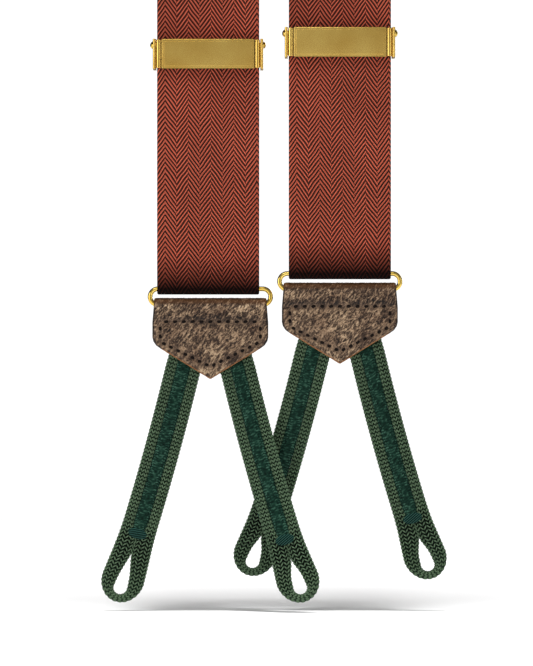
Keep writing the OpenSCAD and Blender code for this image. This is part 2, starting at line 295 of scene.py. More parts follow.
def herringboneWool(name):
    # Worsted wool webbing, woven in herringbone twill: matt, slightly hairy, rust lines on near black
    material, tree, surface = newMaterial(name, Roughness=0.9, Sheen_Weight=0.02, Sheen_Roughness=0.5,
                                          Specular_IOR_Level=0.06)
    of = lambda operation, *values: maths(tree, operation, *values)
    across = attributeOf(tree, "across")
    along = attributeOf(tree, "along")
    cloth = addNode(tree, "ShaderNodeCombineXYZ", {}, {"X": across, "Y": along}).outputs[0]
    drift = of("MULTIPLY", of("SUBTRACT", noiseOver(tree, cloth, 0.09, 2.0), 0.5), weave["drift"])
    threads = of("DIVIDE", across, weave["thread"])
    warpThread = of("MULTIPLY", of("FLOOR", threads), weave["thread"])
    shifted = of("ADD", warpThread, weave["shift"])
    zigzag = of("PINGPONG", shifted, weave["half"])
    column = of("FLOOR", of("DIVIDE", shifted, weave["half"]))
    # each column starts half a line on
    broken = of("MULTIPLY", of("MODULO", column, 2.0), weave["rise"] * 0.5)
    climb = of("ADD", of("MULTIPLY", zigzag, weave["slope"]), of("ADD", along, drift))
    line = of("FRACT", of("DIVIDE", of("ADD", climb, broken), weave["rise"]))
    ridge = of("ABSOLUTE", of("SUBTRACT", line, 0.5))              # 0.5 at a dark line, 0 on a rust one
    fine = noiseOver(tree, cloth, 2.6, 3.0, 0.7)
    frayed = of("ADD", ridge, of("MULTIPLY", of("SUBTRACT", fine, 0.5), weave["fray"]))
    lineColour = rampOf(tree, frayed, (0.0, "#E67559"), (0.14, "#B44F3B"), (0.26, "#50281F"),
                        (0.36, "#231814"))
    threadRound = of("ABSOLUTE", of("SUBTRACT", of("FRACT", threads), 0.5))
    patchy = remap(tree, noiseOver(tree, cloth, 0.035, 3.0), (0.3, 0.7), (0.8, 1.08))
    # painted shade: the cloth is drawn darker towards the wire that it folds over, times the random patches
    grime = of("MULTIPLY", attributeOf(tree, "grime"), weave["grime"])
    shadeAndPatches = of("MULTIPLY", of("SUBTRACT", grime, -1.0), patchy)
    nap = remap(tree, fine, (0.3, 0.7), (0.72, 1.22))
    colour = addNode(tree, "ShaderNodeVectorMath", {"operation": "SCALE"},
                     {0: lineColour, "Scale": of("MULTIPLY", shadeAndPatches, nap)})
    tree.links.new(colour.outputs[0], surface.inputs["Base Color"])
    height = of("SUBTRACT", of("MULTIPLY", ridge, -0.8), of("MULTIPLY", threadRound, 0.5))
    addBump(tree, surface, of("ADD", height, of("MULTIPLY", fine, 0.35)), 0.55, 0.00022)
    return material


def satinBrass(name, roughness, dull, bright):
    # Rolled and tumbled brass: warm, fine polishing marks, a little duller in patches
    material, tree, surface = newMaterial(name, Metallic=1.0, Roughness=roughness)
    place = objectPlace(tree)
    streaks = addNode(tree, "ShaderNodeMapping", {"Scale": (20.0, 300.0, 300.0)}, {"Vector": place})
    fine = noiseOver(tree, streaks.outputs[0], 6.0, 3.0)
    patches = rampOf(tree, noiseOver(tree, place, 70.0, 2.0), (0.3, dull), (0.7, bright))
    # painted shade: a point attribute mixes in dark brown along the lever's lower edge, its side edges and the gap
    # strips
    colour = mixColours(tree, attributeOf(tree, "tarnish"), patches, srgb("#2E2210"))
    tree.links.new(colour, surface.inputs["Base Color"])
    rough = remap(tree, fine, (0.0, 1.0), (roughness - 0.01, roughness + 0.03))
    tree.links.new(rough, surface.inputs["Roughness"])
    return material


def waxedLeather(name):
    # Waxed, tumbled cowhide: dark brown, tan where the grain's ridges are rubbed, raw tan cut edges
    material, tree, surface = newMaterial(name, Roughness=0.5, Specular_IOR_Level=0.22)
    place = objectPlace(tree)
    speckle = noiseOver(tree, place, 1900.0, 3.0, 0.65)
    clouds = noiseOver(tree, place, 130.0, 3.0)
    level = maths(tree, "MULTIPLY_ADD", speckle, 0.35, attributeOf(tree, "grain"))
    skin = rampOf(tree, level, (0.2, "#0F0B09"), (0.38, "#33281F"), (0.56, "#605146"), (0.78, "#9E8A74"),
                  (1.0, "#CDBBA2"))
    shadow = rampOf(tree, clouds, (0.3, "#B9A79B"), (0.7, "#FFF4E6"))
    worn = mixColours(tree, 1.0, skin, shadow, blend="MULTIPLY")
    raw = rampOf(tree, speckle, (0.3, "#5A3419"), (0.7, "#A06C3E"))
    colour = mixColours(tree, attributeOf(tree, "edge"), worn, raw)
    tree.links.new(colour, surface.inputs["Base Color"])
    rough = remap(tree, clouds, (0.3, 0.7), (0.42, 0.68))
    tree.links.new(rough, surface.inputs["Roughness"])
    addBump(tree, surface, speckle, 0.5, 0.00012)
    return material


def twistedYarn(name, dark, mid, light, roughness=0.6, sheen=0.0, fibre=2600.0):
    # Spun yarn: its fibres make it uneven, and painted shade makes it darker where it dives under another
    material, tree, surface = newMaterial(name, Roughness=roughness, Sheen_Weight=sheen, Sheen_Roughness=0.4,
                                          Specular_IOR_Level=0.05)
    fibres = noiseOver(tree, objectPlace(tree), fibre, 2.0)
    level = maths(tree, "MULTIPLY_ADD", fibres, 0.3, attributeOf(tree, "lift"))
    level = maths(tree, "MULTIPLY_ADD", attributeOf(tree, "tint"), 0.2, level)
    colour = rampOf(tree, level, (0.3, dark), (0.72, mid), (1.0, light))
    tree.links.new(colour, surface.inputs["Base Color"])
    addBump(tree, surface, fibres, 0.4, 0.00005)
    return material


strapWool = herringboneWool("worstedWoolHerringbone")
elasticWool = herringboneWool("herringboneElastic")
leverBrass = satinBrass("satinRolledBrass", 0.25, "#D8AF56", "#EAC76D")
wireBrass = satinBrass("polishedBrassWire", 0.16, "#D6B04E", "#E8CB6E")
tabLeather = waxedLeather("waxedTumbledCowhide")
cordYarn = twistedYarn("braidedRayonCord", "#010201", "#15261A", "#586D54")
stripYarn = twistedYarn("ribbedViscoseStrip", "#020705", "#143026", "#3A5C4C", fibre=1800.0)
bartackYarn = twistedYarn("satinStitchThread", "#010705", "#0C2621", "#2A4C44")
waxThread = twistedYarn("waxedLinenThread", "#050403", "#120D0B", "#2A211C", roughness=0.5, sheen=0.05)
print("materials made")


strap = {
    "columns": 44,         # of mesh, across the flat face
    "step": 1.0,           # mm, from one row of the mesh to the next
    "railSteps": 60,
    "foldSteps": 26,
    "grimeStart": 2.2,     # mm above the fold's lowest point, where the painted shade is darkest
    "grimeLong": 12.5,     # mm, over which that fades
}


def ribbonSection(width, thick):
    # flat oblong with half-round selvedges: positions across and through, all the way round
    flat = np.linspace(-width / 2 + thick / 2, width / 2 - thick / 2, strap["columns"])
    turn = np.radians(np.linspace(90, -90, 7)[1:-1])
    right = width / 2 - thick / 2 + np.cos(turn) * thick / 2
    across = np.concatenate([flat, right, flat[::-1], -right[::-1]])
    through = np.concatenate([np.full(flat.shape, thick / 2), np.sin(turn) * thick / 2,
                              np.full(flat.shape, -thick / 2), np.sin(turn)[::-1] * thick / 2])
    return across, through


def straightRun(start, end, step):
    count = max(2, int(np.linalg.norm(np.subtract(end, start)) / step) + 1)
    return np.linspace(start, end, count)


def arcRun(centre, radius, fromAngle, toAngle, steps):
    angle = np.radians(np.linspace(fromAngle, toAngle, steps))
    return np.stack([centre[0] + radius * np.cos(angle), centre[1] + radius * np.sin(angle)], -1)


def ribbonAlong(name, path, width, thick, middleX, grime, material, alongStart=0.0):
    # a ribbon whose middle line is the path in the YZ plane; the outside is on the path's left
    keep = np.concatenate([[True], np.linalg.norm(np.diff(path, axis=0), axis=1) > 1e-7])
    path = path[keep]
    middleX = np.broadcast_to(middleX, keep.shape)[keep]
    grime = np.broadcast_to(grime, keep.shape)[keep]
    tangent = unit(np.gradient(path, axis=0))
    normal = np.stack([-tangent[:, 1], tangent[:, 0]], -1)
    length = np.concatenate([[0], np.cumsum(np.linalg.norm(np.diff(path, axis=0), axis=1))])
    across, through = ribbonSection(width, thick)
    points = np.zeros((len(path), len(across), 3))
    points[:, :, 0] = middleX[:, None] + across
    for axis in (0, 1):
        points[:, :, 1 + axis] = path[:, None, axis] + normal[:, None, axis] * through[None, :]
    part = gridPart(points, across=across[None, :] / mm, along=alongStart + length[:, None] / mm,
                    grime=grime[:, None])
    return makePiece(name, [part], material), length[-1]


def paintedFoldShade(z, foldZ):
    # painted shade: the cloth darkens evenly towards the wire that it turns over
    return np.clip(1 - (z - foldZ - strap["grimeStart"] * mm) / (strap["grimeLong"] * mm), 0, 1)


strapLengths = {}
for side in fronts:
    webLow, webHigh = nodeBox(side + "_front_web")
    foldLow, foldHigh = nodeBox(side + "_bight")
    rearLow, rearHigh = nodeBox(side + "_shoulder_web")
    endLow, endHigh = nodeBox(side + "_strap_end")
    thick = webHigh[1] - webLow[1]
    width = webHigh[0] - webLow[0]
    middle = (webLow[0] + webHigh[0]) / 2
    sign = -1 if side == "left" else 1
    outer = rearHigh[2]                              # the rail's radius and one thickness
    over = outer - thick / 2
    barY, barZ = joints[side + "_ring_hinge"]["pos_m"][1:]
    foldR = (foldHigh[1] - foldLow[1]) / 2 - thick / 2
    legTop = foldHigh[2]
    step = strap["step"] * mm
    rear = straightRun((over, rearLow[2]), (over, 0), step)
    rail = arcRun((0, 0), over, 0, 180, strap["railSteps"])
    front = straightRun((-over, 0), (-over, barZ), step)
    fold = arcRun((barY, barZ), foldR, 180, 360, strap["foldSteps"])
    back = straightRun((barY + foldR, barZ), (barY + foldR, legTop), step)
    path = np.concatenate([rear, rail, front, fold, back])
    rearX = np.linspace(sign * (width / 2 + 0.3 * mm), middle, len(rear))
    middleX = np.concatenate([rearX, np.full(len(path) - len(rear), middle)])
    z = path[:, 1]
    isFront = np.concatenate([np.zeros(len(rear) + len(rail)), np.ones(len(path) - len(rear) - len(rail))])
    grime = paintedFoldShade(z, foldLow[2]) * isFront
    cloth, length = ribbonAlong(side + "_shoulder_strap", path, width, thick, middleX, grime, strapWool,
                                alongStart=3.0 if side == "left" else 1.1)
    finished(cloth, [side + "_shoulder_web", side + "_front_web", side + "_bight"],
             bend=("root", side + "_bight", (0, 0, rearLow[2] - 0.01), (0, 0, legTop)))
    strapLengths[cloth.name] = length
    endBarY = (endLow[1] + endHigh[1]) / 2
    endR = (endHigh[1] - endLow[1]) / 2 - thick / 2
    endBarZ = endHigh[2] - endR - thick / 2
    path = np.concatenate([straightRun((barY + foldR, legTop), (endBarY - endR, endBarZ), step),
                           arcRun((endBarY, endBarZ), endR, 180, 0, strap["foldSteps"]),
                           straightRun((endBarY + endR, endBarZ), (endBarY + endR, endLow[2]), step)])
    grime = paintedFoldShade(path[:, 1], foldLow[2])
    returned, length = ribbonAlong(side + "_return_strap", path, width, thick, middle, grime, strapWool,
                                   alongStart=strapLengths[cloth.name] / mm)
    finished(returned, [side + "_return_web", side + "_strap_end"],
             bend=(side + "_bight", side + "_adjuster", (0, 0, legTop + 0.002), (0, 0, endLow[2] - 0.002)))
    strapLengths[returned.name] = length

low, high = nodeBox("rear_elastic")
foldLow, foldHigh = nodeBox("rear_bight")
thick = high[1] - low[1]
width = high[0] - low[0]
hinge = joints["rear_ring_hinge"]["pos_m"]
elasticY = (low[1] + high[1]) / 2
foldR = hinge[1] - elasticY
path = np.concatenate([straightRun((elasticY, high[2]), (elasticY, hinge[2]), step),
                       arcRun((hinge[1], hinge[2]), foldR, 180, 360, strap["foldSteps"]),
                       straightRun((hinge[1] + foldR, hinge[2]), (hinge[1] + foldR, foldHigh[2]), step)])
elastic, length = ribbonAlong("rear_elastic_strap", path, width, thick, 0.0,
                              paintedFoldShade(path[:, 1], foldLow[2]), elasticWool)
patchLow = nodeBox("back_patch_outer")[0]
finished(elastic, ["rear_elastic", "rear_bight"],
         bend=("root", "rear_bight", (0, 0, patchLow[2]), (0, 0, foldHigh[2])))
strapLengths[elastic.name] = length
print("straps made:", {key: round(value, 3) for key, value in strapLengths.items()})


wireMesh = {"barSteps": 40, "turnSteps": 26, "sides": 18}


def wireLoop(side):
    # a stadium: two straight bars joined by half circles, with a round wire carried along it
    low, high = nodeBox(side + "_ring")
    wire = (high[1] - low[1]) / 2
    centre = (low + high) / 2
    turnR = (high[2] - low[2]) / 2 - wire
    straight = (high[0] - low[0]) / 2 - wire - turnR
    bars = np.linspace(-straight, straight, wireMesh["barSteps"])
    turn = np.radians(np.linspace(90, -90, wireMesh["turnSteps"])[1:-1])
    x = np.concatenate([bars, straight + turnR * np.cos(turn), bars[::-1], -straight - turnR * np.cos(turn)])
    z = np.concatenate([np.full(bars.shape, turnR), turnR * np.sin(turn),
                        np.full(bars.shape, -turnR), turnR * np.sin(turn)[::-1]])
    away = unit(np.stack([np.where(np.abs(x) > straight, x - np.sign(x) * straight, 0), 0 * x, z], -1))
    t = np.arange(wireMesh["sides"]) * 2 * math.pi / wireMesh["sides"]
    centres = np.stack([centre[0] + x, np.full(len(x), centre[1]), centre[2] + z], -1)
    points = (centres[:, None] + wire * (np.cos(t)[None, :, None] * away[:, None]
              + np.sin(t)[None, :, None] * np.array([0, 1, 0])))
    points = np.concatenate([points, points[:1]])
    piece = makePiece(side + "_wire_ring", [gridPart(points, caps=False)], wireBrass)
    shape = welded(piece.data, 1e-7)
    shape.to_mesh(piece.data)
    shape.free()
    finished(piece, [side + "_ring"], body=side + "_ring")


for side in ends:
    wireLoop(side)
print("rings made")


lever = {
    "bevel": 0.45,         # mm
    "sheet": 0.85,         # mm, thickness of the plate
    "curl": 0.95,          # mm, outer radius of the rolled side edges
    "curlSheet": 0.3,      # mm
    "rim": 0.9,            # mm, from the plate's edge to its raised middle
    "raised": 0.12,        # mm
    "web": 1.0,            # mm, width of the dark strip put in as painted shade in the gap between plate and roll
    "camR": 1.95,          # mm
    "tooth": 0.5,          # mm
    "teeth": 22,           # in a full turn
    "tarnish": 0.22,       # mm, how far the painted edge shade reaches in from an edge
    "dull": 0.85,          # how dark the painted shade in the gap and at the side edges is
}


def roundedBar(x0, x1, outline, bevel):
    # an outline in YZ carried along X, drawn in by a quarter circle at both ends
    turn = np.radians(np.linspace(0, 90, 6))
    inset = bevel * (1 - np.sin(turn))
    x = np.concatenate([x0 + bevel * (1 - np.cos(turn)), x1 - bevel * (1 - np.cos(turn[::-1]))])
    inset = np.concatenate([inset, inset[::-1]])
    middle = outline.mean(0)
    reach = np.abs(outline - middle).max(0)
    points = np.zeros((len(x), len(outline), 3))
    points[:, :, 0] = x[:, None]
    for axis in (0, 1):
        scale = 1 - inset / reach[axis]
        points[:, :, 1 + axis] = middle[axis] + (outline[None, :, axis] - middle[axis]) * scale[:, None]
    return gridPart(points)


def roundedRectangle(y0, y1, z0, z1, radius, steps=6):
    corners = [((y1 - radius, z1 - radius), 0), ((y0 + radius, z1 - radius), 90),
               ((y0 + radius, z0 + radius), 180), ((y1 - radius, z0 + radius), 270)]
    return np.concatenate([arcRun(c, radius, a, a + 90, steps) for c, a in corners])


def sideCurl(x, y, z0, z1, sign):
    # sheet rolled into a C: the roll's section in XY carried up along Z
    outer = lever["curl"] * mm
    inner = outer - lever["curlSheet"] * mm
    angle = np.radians(np.linspace(-150, 120, 34))
    across = np.concatenate([outer * np.cos(angle), (inner * np.cos(angle))[::-1]]) * sign
    deep = np.concatenate([outer * np.sin(angle), (inner * np.sin(angle))[::-1]])
    z = np.array([z0, z0 + 0.05 * mm, z0 + 0.2 * mm, (z0 + z1) / 2, z1 - 0.2 * mm, z1 - 0.05 * mm, z1])
    draw = np.array([0.93, 0.98, 1, 1, 1, 0.98, 0.93])
    points = np.stack([x + across[None] * draw[:, None], y + deep[None] * draw[:, None],
                       np.broadcast_to(z[:, None], (len(z), len(across)))], -1)
    return gridPart(points)


def leverPiece(side):
    low, high = nodeBox(side + "_adjuster_lever")
    hinge = np.array(joints[side + "_lever_hinge"]["pos_m"])
    cx = hinge[0]
    half = (high[0] - low[0]) / 2
    curlR = lever["curl"] * mm
    plateHalf = half - 2 * curlR - 0.05 * mm
    face = low[1]
    plate = roundedBar(cx - plateHalf, cx + plateHalf,
                       roundedRectangle(face, face + lever["sheet"] * mm, low[2], high[2], 0.35 * mm),
                       lever["bevel"] * mm)
    raised, rim = lever["raised"] * mm, lever["rim"] * mm
    middle = roundedBar(cx - plateHalf + rim, cx + plateHalf - rim,
                        roundedRectangle(face - raised, face + 0.3 * mm, low[2] + rim, high[2] - rim,
                                         0.11 * mm), raised)
    angle = np.linspace(0, 2 * math.pi, 120, endpoint=False)
    toothed = lever["camR"] * mm + lever["tooth"] * mm * np.clip(np.cos(angle * lever["teeth"]), 0, 1) \
        * (np.cos(angle) > 0.75)
    camOutline = np.stack([hinge[1] + toothed * np.cos(angle), hinge[2] + toothed * np.sin(angle)], -1)
    cam = roundedBar(cx - plateHalf, cx + plateHalf, camOutline, 0.2 * mm)
    curls = [sideCurl(cx + s * (half - curlR), face + curlR, low[2] + 0.3 * mm, high[2] - 0.3 * mm, s)
             for s in (-1, 1)]
    web = lever["web"] * mm
    shadeStripOutline = roundedRectangle(face + 0.35 * mm, face + 0.8 * mm, low[2] + 0.5 * mm,
                                  high[2] - 0.5 * mm, 0.1 * mm)
    shadeStrips = [roundedBar(cx + s * (plateHalf - 0.2 * mm) - (0 if s > 0 else web),
                       cx + s * (plateHalf - 0.2 * mm) + (web if s > 0 else 0), shadeStripOutline, 0.1 * mm)
            for s in (-1, 1)]
    bright = [plate, cam, middle] + curls
    # painted edge shade is e to the minus square of the distance from the edge over its reach
    fade = lambda distance: np.exp(-((distance / (lever["tarnish"] * mm)) ** 2))
    for part, dull in [(b, 0) for b in bright] + [(w, lever["dull"]) for w in shadeStrips]:
        lowEdge = fade(part["verts"][:, 2] - low[2])
        sideEdge = lever["dull"] * fade(plateHalf - np.abs(part["verts"][:, 0] - cx))
        part["attributes"] = {"tarnish": np.maximum(np.maximum(lowEdge, sideEdge), dull)}
    piece = makePiece(side + "_lever_plate", bright + shadeStrips, leverBrass, 50)
    finished(piece, [side + "_adjuster_lever"], body=side + "_lever")


def polishedCopy(node, name, material, bevel, body):
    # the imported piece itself, its flats joined up and its edges rounded
    shape = welded(frame["nodes"][node].data, 1e-6)
    bmesh.ops.dissolve_limit(shape, angle_limit=math.radians(1.0), verts=shape.verts, edges=shape.edges)
    mesh = bpy.data.meshes.new(name)
    shape.to_mesh(mesh)
    shape.free()
    piece = smoothPiece(name, mesh, material, 35)
    if bevel:
        rounding = piece.modifiers.new("edges", "BEVEL")
        rounding.width = bevel * mm
        rounding.segments = 3
        rounding.limit_method = "ANGLE"
        rounding.angle_limit = math.radians(40)
        rounding.harden_normals = True
    finished(piece, [node], body=body)


for side in fronts:
    leverPiece(side)
    body = side + "_adjuster"
    polishedCopy(body + "_frame", body + "_body", leverBrass, 0.16, body)
    polishedCopy(body + "_pin", side + "_pivot_pin", wireBrass, 0, body)
print("adjusters made")


hide = {
    "grain": 0.2,          # mm, height of the grain
    "cell": 0.74,          # mm, from one grain ridge to the next
    "stretch": 2.8,        # how much longer a ridge is than the gap between two
    "lay": 52,             # degrees, the way the ridges run
    "groove": 0.28,        # mm, how deep the stitches pull in
    "puff": 0.45,          # mm, swell of the fold above the top row
    "round": 0.4,          # mm, radius of the cut edges
    "step": 0.27,          # mm, mesh
}
tabShape = {
    "sheet": 1.5,          # mm, thickness of the leather
    "waistIn": 0.55,       # mm, how much narrower the fold is on each side
    "shoulder": 14.6,      # mm under the top, where the sides start to turn in
    "corner": 18.9,        # mm under the top, where the straight run to the point starts
    "cornerIn": 3.15,      # mm, how much narrower it is there on each side
    "foldSteps": 22,
    "fray": 0.35,          # mm, unevenness of the raw edges
    "belly": 0.35,         # mm, swell of the face under the top row
}
stitch = {"pitch": 3.28, "long": 1.65, "radius": 0.56, "rowDrop": 8.8}     # mm


def grainHeight(x, v, seed, cell=None):
    # thin ridges where a stretched noise crosses its middle, a finer set across them, and pits between
    cell = cell or hide["cell"] * mm
    a = math.radians(hide["lay"])
    u = (x * math.cos(a) + v * math.sin(a)) / (cell * hide["stretch"])
    w = (-x * math.sin(a) + v * math.cos(a)) / cell
    bend = layeredNoise(u * 0.9 + 9, w * 0.9 + 4, seed + 20, 2)
    veins = 1 - np.clip(3.0 * np.abs(2 * layeredNoise(u + bend, w + bend, seed, 2) - 1), 0, 1)
    finer = layeredNoise(u * 2.3 + 5, w * 2.1 + bend, seed + 5, 2)
    fineVeins = 1 - np.clip(2.6 * np.abs(2 * finer - 1), 0, 1)
    pits = np.clip(layeredNoise(u * 4.5 + 30, w * 3.2 + 11, seed + 7, 2) - 0.45, 0, 1)
    return np.clip(0.22 + 0.5 * veins + 0.26 * fineVeins - 1.3 * pits, 0, 1)


def stitchLine(tab):
    # centre, angle and length of each stitch: the top row, two down each side, then the diagonals
    rowZ = tab["top"] - stitch["rowDrop"]
    rowX = 5 * stitch["pitch"]
    sideX = rowX + 2.2
    lowZ = tab["cornerZ"] + 2.6
    tipZ = tab["point"] + 4.6
    slant = math.degrees(math.atan2(lowZ - tipZ, sideX))
    marks = [(i * stitch["pitch"], rowZ, 0, stitch["long"]) for i in range(-5, 6)]
    for s in (-1, 1):
        marks += [(s * sideX, rowZ - 2.6 - 2.9 * i, 90, stitch["long"]) for i in range(2)]
        marks += [(s * sideX * (1 - d), lowZ + (tipZ - lowZ) * d, s * slant, stitch["long"] - 0.1)
                  for d in (np.arange(7) + 0.5) / 7]
    return marks


def distanceToMarks(x, z, marks):
    # distance from each point to the nearest stitch, each a short straight line
    best = np.full(x.shape, 1e9)
    for mx, mz, angle, long in marks:
        c, s = math.cos(math.radians(angle)), math.sin(math.radians(angle))
        t = np.clip((x - mx) * c + (z - mz) * s, -long / 2, long / 2)
        best = np.minimum(best, np.hypot(x - mx - t * c, z - mz - t * s))
    return best


def tabPiece(side, seed):
    low, high = nodeBox(side + "_tab_leather")
    hinge = np.array(joints[side + "_tab_hinge"]["pos_m"])
    top = (high[2] - hinge[2]) / mm                       # outer radius of the fold
    halfW = (high[0] - low[0]) / 2 / mm
    waist = halfW - tabShape["waistIn"]
    tab = {"top": top, "point": (low[2] - hinge[2]) / mm, "cornerZ": top - tabShape["corner"]}
    inner = top - tabShape["sheet"]
    cornerX = halfW - tabShape["cornerIn"]
    # half width at each height: from the point to the corner, the round shoulder, the side and the waist
    z = np.arange(tab["point"] + 0.02, 0, hide["step"])
    cornerZ, shoulderZ = tab["cornerZ"], top - tabShape["shoulder"]
    outlineZ = [tab["point"], cornerZ, cornerZ + 1.3, cornerZ + 2.8, shoulderZ, -6.6, 0]
    outlineX = [0.12, cornerX, halfW - 1.35, halfW - 0.35, halfW, halfW, waist]
    halfAt = np.interp(z, outlineZ, outlineX)
    turn = np.linspace(0, math.pi, tabShape["foldSteps"])[1:-1]
    # the rows go up the front, over the fold and down the back
    rowsZ = np.concatenate([z, top * np.sin(turn), z[::-1]])
    rowsHalf = np.concatenate([halfAt, np.full(turn.shape, waist), halfAt[::-1]])
    nY = np.concatenate([np.full(len(z), -1.0), -np.cos(turn), np.full(len(z), 1.0)])
    nZ = np.concatenate([np.zeros(len(z)), np.sin(turn), np.zeros(len(z))])
    baseZ = np.concatenate([z, np.zeros(turn.shape), z[::-1]])
    path = np.concatenate([z, top * turn, top * math.pi - z[::-1]])
    columns = int(2 * halfW / hide["step"])
    u = np.sin(np.linspace(-math.pi / 2, math.pi / 2, columns)) * 0.25 + np.linspace(-1, 1, columns) * 0.75
    fray = tabShape["fray"] * smoothStep(-rowsZ, -cornerZ, -cornerZ + 0.6) * (rowsZ > tab["point"] + 0.6)
    frayed = [fray * (layeredNoise(path / 0.7 + 50 * s, path * 0 + 3, seed + 31, 3) - 0.6) for s in (0, 1)]
    x = u[None, :] * (rowsHalf[:, None] + np.where(u[None, :] < 0, frayed[0][:, None], frayed[1][:, None]))
    zz = np.broadcast_to(rowsZ[:, None], x.shape)
    marks = stitchLine(tab)
    rng = np.random.default_rng(seed)
    onHide = np.broadcast_to(path[:, None], x.shape) * mm
    grain = grainHeight(x * mm, onHide, seed)
    toMark = distanceToMarks(x, zz, marks)
    rowZ = top - stitch["rowDrop"]
    fromRow = np.abs(zz - rowZ)
    puff = hide["puff"] * np.exp(-((zz - rowZ / 2 + 0.6) / 2.4) ** 2)
    creases = grainHeight(x * mm, onHide, seed + 40, 1.9 * mm)
    belly = tabShape["belly"] * smoothStep(-zz, -rowZ + 0.5, -rowZ + 3.5) * (1 - (x / (halfW * 1.02)) ** 2) \
        * smoothStep(zz, tab["point"] + 2, tab["point"] + 9)
    seam = hide["groove"] * np.exp(-(toMark / 0.75) ** 2) + 0.16 * np.exp(-(fromRow / 0.8) ** 2)
    raw = smoothStep(-zz, -cornerZ - 0.8, -cornerZ + 0.8)         # only the diagonals are left raw
    height = hide["grain"] * grain + puff * (0.75 + 0.5 * creases) + belly - seam
    wallSlope = np.abs(np.gradient(rowsHalf) / np.maximum(np.abs(np.gradient(rowsZ)), 1e-6))
    lean = 1 / np.sqrt(1 + np.minimum(wallSlope, 3) ** 2)
    toEdge = (rowsHalf[:, None] - np.abs(x)) * lean[:, None]
    r = hide["round"]
    rounding = r - np.sqrt(np.maximum(r * r - np.maximum(r - toEdge, 0) ** 2, 0))
    height = height * smoothStep(toEdge, 0, 1.0) - rounding
    out = top + height
    hingeX, hingeY, hingeZ = hinge / mm
    outerPoints = np.stack([hingeX + x, hingeY + nY[:, None] * out,
                            hingeZ + baseZ[:, None] + nZ[:, None] * out], -1)
    innerPoints = np.stack([hingeX + x, np.broadcast_to(hingeY + nY[:, None] * inner, x.shape),
                            np.broadcast_to(hingeZ + (baseZ + nZ * inner)[:, None], x.shape)], -1)
    middle = (outerPoints + innerPoints) / 2
    push = np.array([0.12, 0, 0])
    points = np.concatenate([outerPoints, middle[:, -1:] + push, innerPoints[:, ::-1],
                             middle[:, :1] - push], 1) * mm
    ruff = layeredNoise(path[:, None] / 0.5, np.ones((1, 1)), seed + 60, 2)
    edgeBand = (1 - smoothStep(toEdge, 0.1, 0.4 + 0.4 * ruff)) * raw
    foldTopShade = smoothStep(zz + 0 * x, -0.4, 1.2)             # painted shade darkens the top of the fold, and some raw edge colour makes it a little red
    edgeBand = np.maximum(edgeBand, 0.3 * foldTopShade)
    wall = 0.85 * raw[:, :1]
    edge = np.concatenate([edgeBand, wall, np.full(x.shape, 0.3), wall], 1)
    # painted shade: a darker band just above the top row of stitches, under the swell
    dark = 0.16 * np.exp(-((fromRow - 1.5) / 1.4) ** 2) * (zz > rowZ)
    pressed = 0.75 * np.exp(-(toMark / 1.1) ** 2)            # the grain is pressed flat beside a stitch
    grain = grain * (1 - pressed) + 0.42 * pressed
    dyedEdge = (1 - raw) * (1 - smoothStep(toEdge, 0.1, 0.7))
    # the colour level: the grain and creases, less the painted shade above the stitch row and at the top of the
    # fold, less the dyed side edges
    shade = 0.06 + 0.85 * grain + 0.12 * creases - dark - 0.25 * foldTopShade - 0.35 * dyedEdge
    cutWall = np.full((len(x), 1), 0.5)
    full = np.concatenate([np.clip(shade, 0, 1), cutWall, np.full(x.shape, 0.4), cutWall], 1)
    piece = makePiece(side + "_leather_tab", [gridPart(points, grain=full, edge=edge)], tabLeather)
    finished(piece, [side + "_tab_leather"], body=side + "_tab")
    threads = []
    for face in (-1, 1):
        for mx, mz, angle, long in marks:
            tilt = math.radians(angle + rng.uniform(-5, 5) + 9)
            along = np.array([math.cos(tilt), 0, math.sin(tilt)])
            row = int(np.argmin(np.abs(z - mz)))
            row = row if face < 0 else len(rowsZ) - 1 - row
            column = int(np.argmin(np.abs(x[row] - mx)))
            centre = hinge + np.array([mx, face * (top + height[row, column] + 0.1), mz]) * mm
            threads.append(capsule(centre, along, np.array([0, face, 0.0]), long * mm,
                                   stitch["radius"] * mm))
    thread = makePiece(side + "_tab_thread", evenYarn(threads), waxThread)
    finished(thread, [side + "_tab_stitching"], body=side + "_tab")


for number, side in enumerate(ends):
    tabPiece(side, 11 + 17 * number)
print("leather tabs made")


runner = {          # all in mm
    "halfStrip": 2.4, "halfBand": 6.7, "loopHalf": 8.15, "holeR": 2.4, "wall": 3.3, "widestUp": 3.6,
    "seam": 8.2, "halfThick": 1.55, "inLeather": 10.0, "flatThick": 0.82, "bow": 1.0, "step": 0.45,
}
braid = {
    "carriers": 16,        # strands that wind each way
    "lead": 24.0,          # mm, along the cord for one turn
    "wide": 0.25,          # mm, half a strand's width
    "thick": 0.24,         # mm, half its thickness
    "weave": 0.25,         # mm, how far it rises and dives
    "coreDrop": 0.3,       # mm, from the strands down to the core
    "sides": 5,
    "coreSides": 14,
}


